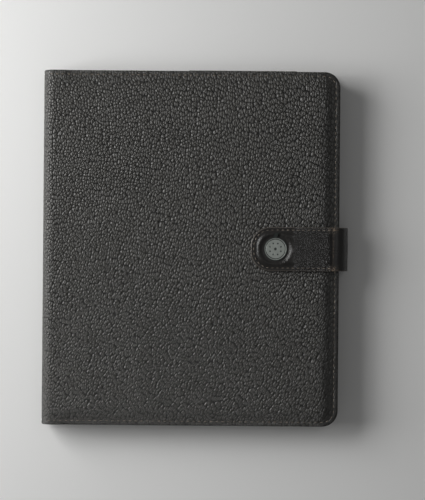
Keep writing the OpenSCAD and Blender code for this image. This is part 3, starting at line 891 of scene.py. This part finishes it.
# Places, half lengths, leans and depths of the soft creases in the front
CREASES = (
    (34 * MM, 117 * MM, 9 * MM, 0.15, 0.28 * MM),
    (-86 * MM, -119 * MM, 6 * MM, -0.25, 0.30 * MM),
    (60 * MM, -60 * MM, 18 * MM, 0.9, 0.14 * MM),
    (-40 * MM, 20 * MM, 25 * MM, 0.3, 0.12 * MM),
)


def back_skin():
    cover = settings("cover")
    route = Route([(HALF_W, 0), (-HALF_W, 0), (-HALF_W, SPINE_MID)], [SPINE_R])
    total = front_skin().route.length + route.length

    def lay(run, y):
        near_spine = ease((HALF_W - BOARD_X - run) / cover.roll)
        thick = cover.spine_edge + (cover.edge - cover.spine_edge) * near_spine
        # The fore-edge is a single thickness where the strap is let in
        let_in = ease((10 * MM - run) / (3 * MM)) * ease((STRAP_HALF + 1.6 * MM - abs(y)) / (1.4 * MM))
        return thick + (1.9 * MM - thick) * let_in, 0.75 * MM * let_in, 0.0

    def relief(run, y, inset):
        groove = -0.2 * MM * bell(inset - settings("thread").inset, 0.55 * MM)
        return groove + 0.06 * MM * waves(run, y, 50 * MM, 1.3) * ease(inset / (14 * MM)) - 0.06 * MM

    return Skin(route, 1, HALF_L, cover.corner, cover_edge(), lay, relief, u0=HALF_W - total, u_sign=1)


def lining_skin(face, gutter, spine_z, outward):
    """Cloth over the inside of a cover, down into the gutter and over half the spine"""
    cover = settings("cover")
    margin = 0.4 * MM
    bend = SPINE_R - GUTTER
    into = -1 if face > SPINE_MID else 1
    points = [
        (HALF_W - margin, face), (BOARD_X, face), (BOARD_X - 4.5 * MM, gutter),
        (FOLD_X - bend, gutter), (FOLD_X - bend, spine_z), (SPINE_FACE, spine_z + into * 1.0 * MM),
        (SPINE_FACE, SPINE_MID),
    ]
    route = Route(points, [2.5 * MM, 1.5 * MM, bend - 1.2 * MM, 0.4 * MM, 0.4 * MM])
    edge = Edge(0.2 * MM, 0.1 * MM, 0.5 * MM, 0.2 * MM, 2 * MM, 2 * MM)
    return Skin(
        route, outward, HALF_L - margin, cover.corner - margin, edge, lambda run, y: (0.5 * MM, 0.0, 0.0)
    )


def rows_of(skin, counts, fine, coarse):
    """Rows down and across a skin: close at the edges and in the bends, wide on the level"""
    edge = skin.edge
    start = sum(edge.spans)
    down = edge.rows(counts)
    stops = [(r[0], r[0] + r[4], r[3] != 0.0) for r in skin.route.runs]
    for begin, end, bent in stops:
        begin, end = max(begin + edge.wrap, down[-1]), end + edge.wrap
        if end > begin + 1e-6:
            down += spread(begin, end, fine if bent else coarse)
    half = edge.rows(counts) + spread(start, skin.half_width + edge.wrap, coarse)
    return down, mirrored(half, 2 * (skin.half_width + edge.wrap))


def strap_skin(depth, thick):
    """One layer of the strap, from its free end round both bends, at a depth under the outer face"""
    strap = settings("strap")
    outer = depth == 0.0
    x1, z1, z0 = STRAP_X - depth, TAB_TOP - depth, STRAP_FOOT + depth
    route = Route(
        [(TAB_X, z1), (x1, z1), (x1, z0), (HALF_W - 11.8 * MM, z0)], [STRAP_BEND - depth, ROOT_BEND - depth]
    )
    flat_end = STRAP_X - STRAP_BEND - TAB_X

    def lay(run, y):
        puff = strap.puff * ease((flat_end - run) / (5 * MM)) if outer else 0.0
        return thick, 0.0, -puff

    def relief(run, y, inset):
        if not outer:
            return 0.0
        x = TAB_X + run
        away = math.hypot(x - SNAP_X, y)
        down = 1 - ease((away - strap.dish_floor) / (strap.dish - strap.dish_floor))
        inside = ease((inset - strap.border) / strap.roll)
        dish = -(strap.puff * inside + 0.1 * MM) * down if run < flat_end else 0.0
        ring = bell(away - 11.2 * MM, 1.5 * MM)
        angle = math.atan2(y, x - SNAP_X)
        pleat = 0.10 * MM * ring * math.sin(31 * angle + 2.2 * math.sin(3 * angle)) * inside
        groove = -0.16 * MM * bell(inset - STRAP_SEAM, 0.5 * MM) * ease((CREASE_RUN - run) / (2 * MM))
        crease = -0.40 * MM * bell(run - CREASE_RUN, 1.0 * MM)
        sag = 0.16 * MM * waves(x, y, 9 * MM, 5.5) * ease(inset / (3 * MM))
        return dish + pleat + groove + crease + sag

    edge = Edge(0.1 * MM, 0.1 * MM, thick, 0.45 * MM if outer else 0.2 * MM, strap.border, strap.roll)
    half = STRAP_HALF - (0.0 if outer else 0.12 * MM)
    return Skin(route, 1, half, strap.end_radius, edge, lay, relief, u0=TAB_X)


# ---- Operators ----

class CASE_OT_covers(bpy.types.Operator):
    """Wrap the leather of both covers and the spine"""
    bl_idname = "case.covers"
    bl_label = "Covers"

    def execute(self, context):
        thick = settings("cover").leather
        counts = (2, 3, 3, 5, 8, 12)
        front = front_skin()
        piece = front.mesh("front_cover_leather", *rows_of(front, counts, 0.8 * MM, 1.6 * MM), thick)
        dress(piece, cover_leather())
        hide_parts("front_leather", "spine_leather")
        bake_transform(piece)
        back = back_skin()
        piece = back.mesh("back_cover_leather", *rows_of(back, (2, 3, 3, 5, 6, 4), 0.8 * MM, 2.6 * MM), thick)
        dress(piece, cover_leather())
        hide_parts("back_leather", "spine_leather")
        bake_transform(piece)
        return {"FINISHED"}


def cut_size(skin):
    """Width and length of the flat piece that a skin is cut from"""
    wrap = skin.edge.wrap
    return skin.route.length + wrap, 2 * (skin.half_width + wrap)


class CASE_OT_linings(bpy.types.Operator):
    """Lay the suede linings inside the covers and the spine"""
    bl_idname = "case.linings"
    bl_label = "Linings"

    def execute(self, context):
        counts = (1, 1, 1, 2, 2, 2)
        front = lining_skin(FRONT_FACE, TOP - GUTTER, TOP - SPINE_R, 1)
        piece = front.mesh("front_lining_cloth", *rows_of(front, counts, 0.8 * MM, 4 * MM), 0.4 * MM)
        dress(piece, suede_lining())
        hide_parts("front_lining", "spine_lining")
        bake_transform(piece)
        cut_size(front)
        back = lining_skin(BACK_FACE, GUTTER, SPINE_R, -1)
        piece = back.mesh("back_lining_cloth", *rows_of(back, counts, 0.8 * MM, 4 * MM), 0.4 * MM)
        dress(piece, suede_lining())
        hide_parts("back_lining", "spine_lining")
        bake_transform(piece)
        cut_size(back)
        return {"FINISHED"}


class CASE_OT_strap(bpy.types.Operator):
    """Lay the strap's leather and lining round both bends"""
    bl_idname = "case.strap"
    bl_label = "Strap"

    def execute(self, context):
        strap = settings("strap")
        layers = (("leather", 0.0, strap.leather, strap_leather, "strap_leather"),
                  ("lining", strap.leather, strap.lining, hinge_leather, "inner_leather"))
        for word, depth, thick, material, slot in layers:
            skin = strap_skin(depth, thick)
            down, across = rows_of(skin, (1, 1, 2, 4, 9, 8), 0.6 * MM, 0.7 * MM)
            middle = skin.route.runs[2]
            cut = middle[0] + middle[4] / 2 + skin.edge.wrap
            cut = min(down, key=lambda row: abs(row - cut))
            upper = [row for row in down if row <= cut]
            lower = [row for row in down if row >= cut]
            piece = skin.mesh("strap_tab_" + word, upper, across, thick * 0.6)
            dress(piece, material())
            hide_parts("tab_" + word, "bridge_" + word)
            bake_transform(piece)
            piece = skin.mesh("strap_root_" + word, lower, across, thick * 0.6)
            dress(piece, material())
            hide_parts("strap_root", "bridge_" + word)
            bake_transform(piece)
        return {"FINISHED"}


class CASE_OT_snap(bpy.types.Operator):
    """Model the snap cap and finish the working parts of the press stud"""
    bl_idname = "case.snap"
    bl_label = "Snap"

    def execute(self, context):
        base, top = low("snap_cap")[2], high("snap_cap")[2]
        seat = TAB_TOP - 0.1 * MM
        rim_h = 0.5 * MM
        bpy.ops.object.select_all(action="DESELECT")
        bpy.ops.mesh.primitive_cylinder_add(
            vertices=96, radius=CAP_R - 0.12 * MM, depth=rim_h, location=(SNAP_X, 0, seat + rim_h / 2)
        )
        cap = bpy.context.object
        cap.name = "snap_cap_face"
        settle(cap)
        dome = top - seat - rim_h
        rings = ((0.5, -0.02), (0.35, 0.06), (0.25, -0.14), (0.25, 0.20), (0.7, 0.10), (1.2, 0.12),
                 (1.6, 0.09), (1.6, 0.04))
        climb = sum(rise for _, rise in rings)
        for inset, rise in rings:
            step_in(cap, inset * MM, rise * dome / climb)
        edges = cap.modifiers.new("eased", "BEVEL")
        edges.width = 0.07 * MM
        edges.segments = 2
        edges.limit_method = "ANGLE"
        edges.angle_limit = math.radians(50)
        apply_modifiers(cap)
        smooth(cap, 35)
        dress(cap, pewter())
        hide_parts("snap_cap")
        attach(cap, BODY_OF["snap_cap"])
        bpy.ops.object.select_all(action="DESELECT")
        bpy.ops.mesh.primitive_cylinder_add(
            vertices=32, radius=1.85 * MM, depth=seat - base, location=(SNAP_X, 0, (seat + base) / 2)
        )
        barrel = bpy.context.object
        barrel.name = "snap_cap_barrel"
        settle(barrel)
        edit(barrel, lambda: bpy.ops.mesh.bevel(offset=0.1 * MM, segments=2))
        smooth(barrel, 40)
        dress(barrel, nickel())
        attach(barrel, BODY_OF["snap_cap"])
        for node in ("snap_socket", "snap_stud", "stud_rivet", "socket_spring"):
            finish_node(node, nickel())
        return {"FINISHED"}


def step_in(piece, inset, rise):
    """Insets the topmost face and lifts the new one"""
    mesh = piece.data
    top = max(mesh.polygons, key=lambda face: face.center.z * (face.normal.z > 0.9))
    for polygon in mesh.polygons:
        polygon.select = polygon.index == top.index
    for edge in mesh.edges:
        edge.select = False
    for vertex in mesh.vertices:
        vertex.select = False
    top.select = True
    only(piece)
    bpy.ops.object.mode_set(mode="EDIT")
    bpy.ops.mesh.select_mode(type="FACE")
    bpy.ops.mesh.inset(thickness=inset)
    bpy.ops.transform.translate(value=(0, 0, rise))
    bpy.ops.object.mode_set(mode="OBJECT")


def finish_node(node, material):
    """Gives a frame node its finish"""
    slots = NODES[node].material_slots
    if slots:
        for entry in slots:
            entry.material = material
    else:
        NODES[node].data.materials.append(material)


class CASE_OT_tray(bpy.types.Operator):
    """Finish the tablet bay: its boards, gusset and bezel"""
    bl_idname = "case.tray"
    bl_label = "Tray"

    def execute(self, context):
        for node in ("gusset_spine_side", "gusset_fore_side", "gusset_end"):
            dress(softened(node, 0.2 * MM), inner_leather())
        dress(softened("bezel_leather", 0.25 * MM, segments=3), inner_leather())
        for node in ("wall_boards", "bezel_board", "back_board", "front_board", "spine_board", "flap_board"):
            finish_node(node, raw_board())
        finish_node("front_padding", foam())
        filler = softened("tab_filler", 0.1 * MM)
        base = low("tab_filler")[2]
        for vertex in filler.data.vertices:
            # The filler is shown lower than it is before the leather is drawn over it
            vertex.co.z = base + (vertex.co.z - base) * 0.7
        dress(filler, foam())
        return {"FINISHED"}


class CASE_OT_flap(bpy.types.Operator):
    """Finish the mouth flap and its leather hinge"""
    bl_idname = "case.flap"
    bl_label = "Mouth flap"

    def execute(self, context):
        dress(softened("flap_leather", 0.2 * MM), inner_leather())
        dress(softened("flap_pull", 0.25 * MM, segments=3), inner_leather())
        dress(softened("flap_hinge", 0.15 * MM), inner_leather())
        return {"FINISHED"}


class CASE_OT_pockets(bpy.types.Operator):
    """Finish the pockets inside the front cover"""
    bl_idname = "case.pockets"
    bl_label = "Pockets"

    def execute(self, context):
        for node in ("document_pocket", "card_slot_upper", "card_slot_middle", "card_slot_lower"):
            dress(softened(node, 0.12 * MM), inner_leather())
        return {"FINISHED"}


class CASE_OT_stitching(bpy.types.Operator):
    """Sew the covers, the strap, the bay and the pockets"""
    bl_idname = "case.stitching"
    bl_label = "Stitching"

    def execute(self, context):
        thread = settings("thread")
        sunk = 0.12 * MM
        front = front_skin()
        stop = front.route.runs[1][0] + 4 * MM
        places = front.seam(thread.inset, thread.pitch, stop, sunk)
        row = sewn("front_stitches", places, None, sewing_thread())
        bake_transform(row)
        back = back_skin()
        places = back.seam(thread.inset, thread.pitch, stop, sunk)
        row = sewn("back_stitches", places, None, sewing_thread())
        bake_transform(row)
        strap = strap_skin(0.0, settings("strap").leather)
        places = strap.seam(STRAP_SEAM, thread.strap_pitch, CREASE_RUN - 1 * MM, 0.05 * MM)
        row = sewn("strap_stitches", places, "strap_tab", sewing_thread(), (2.1 * MM, 0.5 * MM))
        self.sew_bay(thread)
        self.sew_pockets(thread)
        return {"FINISHED"}

    def sew_bay(self, thread):
        (x0, y0, _), (x1, y1, z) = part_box("bezel_leather")
        size = (1.7 * MM, 0.35 * MM)
        edge = 1.6 * MM
        outline = Route(
            [(x0 + edge, y1 - 1 * MM), (x0 + edge, y0 + edge), (x1 - edge, y0 + edge),
             (x1 - edge, y1 - 1 * MM)],
            [8.4 * MM, 8.4 * MM],
        )
        sewn("bezel_stitches", flat_seam(outline, z, 1, 2.6 * MM), "back_cover", sewing_thread(), size)
        lap = 10.2 * MM
        left, right, bottom, top = x0 + lap - edge, x1 - lap + edge, y0 + lap - edge, y1 - lap + edge
        start = (left + right) / 2
        window = Route(
            [(start, top), (left, top), (left, bottom), (right, bottom), (right, top), (start, top)],
            [5.5 * MM] * 4,
        )
        sewn("window_stitches", flat_seam(window, z, 1, 2.6 * MM), "back_cover", sewing_thread(), size)
        (fx0, fy0, _), (fx1, _, _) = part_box("gusset_end")
        flange = low("gusset_end")[2] + 0.8 * MM
        inner = 1.3 * MM
        foot = Route(
            [(fx0 + inner, y1 - 1 * MM), (fx0 + inner, fy0 + inner), (fx1 - inner, fy0 + inner),
             (fx1 - inner, y1 - 1 * MM)],
            [11.8 * MM, 11.8 * MM],
        )
        sewn("gusset_stitches", flat_seam(foot, flange, 1, 3.2 * MM), "back_cover", sewing_thread(), size)

    def sew_pockets(self, thread):
        size = (1.7 * MM, 0.32 * MM)
        (x0, y0, z), (x1, y1, _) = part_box("document_pocket")
        edge = 2 * MM
        pocket = Route(
            [(x0 + edge, y1 - 0.6 * MM), (x0 + edge, y0 + edge), (x1 - edge, y0 + edge),
             (x1 - edge, y1 - 0.6 * MM)],
            [0.5 * MM, 4.5 * MM],
        )
        places = flat_seam(pocket, z, -1, 2.8 * MM)
        for node in ("card_slot_upper", "card_slot_middle", "card_slot_lower"):
            (x0, y0, z), (x1, y1, _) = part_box(node)
            bottom = y0 if node == "card_slot_lower" else high("card_slot_" + BELOW[node])[1] + 0.8 * MM
            if node == "card_slot_lower":
                slot = Route(
                    [(x0 + edge, y1 - 0.6 * MM), (x0 + edge, bottom + edge), (x1 - edge, bottom + edge),
                     (x1 - edge, y1 - 0.6 * MM)],
                    [0.5 * MM, 0.5 * MM],
                )
                places += flat_seam(slot, z, -1, 2.8 * MM)
            else:
                for x in (x0 + edge, x1 - edge):
                    side = Route([(x, bottom), (x, y1 - 0.6 * MM)], [])
                    places += flat_seam(side, z, -1, 2.8 * MM)
        sewn("pocket_stitches", places, "front_cover", sewing_thread(), size)


# The card slot that lies over each of the others
BELOW = {"card_slot_upper": "middle", "card_slot_middle": "lower"}


class CASE_OT_stage(bpy.types.Operator):
    """Lay the table, hang the lights and set the camera"""
    bl_idname = "case.stage"
    bl_label = "Stage"

    def execute(self, context):
        studio = settings("studio")
        bpy.ops.object.select_all(action="DESELECT")
        bpy.ops.mesh.primitive_plane_add(size=6.0, location=(0, 0, 0))
        floor = bpy.context.object
        floor.name = "table"
        floor.data.transform(floor.matrix_world)
        floor.matrix_world = Matrix.Identity(4)
        floor.data.materials.append(table_top())
        self.lamp("window", (-0.60, 0.30, 0.44), (0.40, 0.50), studio.window)
        self.lamp("low", (-0.95, 0.0, 0.22), (0.38, 1.0), studio.low)
        self.lamp("fill", (0.6, 0.3, 1.7), (0.6, 0.6), studio.fill)
        world = bpy.data.worlds.new("room")
        world.use_nodes = True
        sky = world.node_tree.nodes["Background"]
        sky.inputs["Color"].default_value = (1, 1, 1, 1)
        sky.inputs["Strength"].default_value = studio.sky
        context.scene.world = world
        context.scene.view_settings.view_transform = "Standard"
        self.camera(context, studio)
        return {"FINISHED"}

    def lamp(self, name, place, size, watts):
        """A soft rectangular light aimed at the case"""
        data = bpy.data.lights.new(name, "AREA")
        data.shape = "RECTANGLE"
        data.size, data.size_y = size
        data.energy = watts
        lamp = bpy.data.objects.new(name, data)
        bpy.context.collection.objects.link(lamp)
        lamp.location = place
        lamp.rotation_euler = (Vector((0, 0, TOP)) - Vector(place)).to_track_quat("-Z", "Y").to_euler()

    def camera(self, context, studio):
        """Straight down on the closed case, turned by half a degree"""
        data = bpy.data.cameras.new("camera")
        data.sensor_fit = "VERTICAL"
        data.sensor_height = 24.0
        data.lens = data.sensor_height * studio.distance / studio.view_height
        camera = bpy.data.objects.new("camera", data)
        bpy.context.collection.objects.link(camera)
        camera.location = (15.7 * MM, -1.1 * MM, TOP + studio.distance)
        camera.rotation_euler = (0, 0, math.radians(0.5))
        context.scene.camera = camera


class CASE_PT_panel(bpy.types.Panel):
    """The steps in which the case is made"""
    bl_label = "Tablet Case"
    bl_idname = "CASE_PT_panel"
    bl_space_type = "VIEW_3D"
    bl_region_type = "UI"
    bl_category = "Tablet Case"

    def draw(self, context):
        for step in STEPS:
            self.layout.operator(step.bl_idname)


STEPS = (
    CASE_OT_covers, CASE_OT_linings, CASE_OT_tray, CASE_OT_flap, CASE_OT_pockets, CASE_OT_strap,
    CASE_OT_snap, CASE_OT_stitching, CASE_OT_stage,
)
GROUPS = {
    "cover": CoverSettings, "strap": StrapSettings, "thread": ThreadSettings, "finish": FinishSettings,
    "studio": StudioSettings,
}


def register():
    for name, group in GROUPS.items():
        bpy.utils.register_class(group)
        setattr(bpy.types.Scene, "case_" + name, bpy.props.PointerProperty(type=group))
    for step in STEPS:
        bpy.utils.register_class(step)
    bpy.utils.register_class(CASE_PT_panel)


def unregister():
    bpy.utils.unregister_class(CASE_PT_panel)
    for step in reversed(STEPS):
        bpy.utils.unregister_class(step)
    for name, group in GROUPS.items():
        delattr(bpy.types.Scene, "case_" + name)
        bpy.utils.unregister_class(group)


def main():
    register()
    for step in STEPS:
        group, name = step.bl_idname.split(".")
        getattr(getattr(bpy.ops, group), name)()


if __name__ == "__main__":
    main()
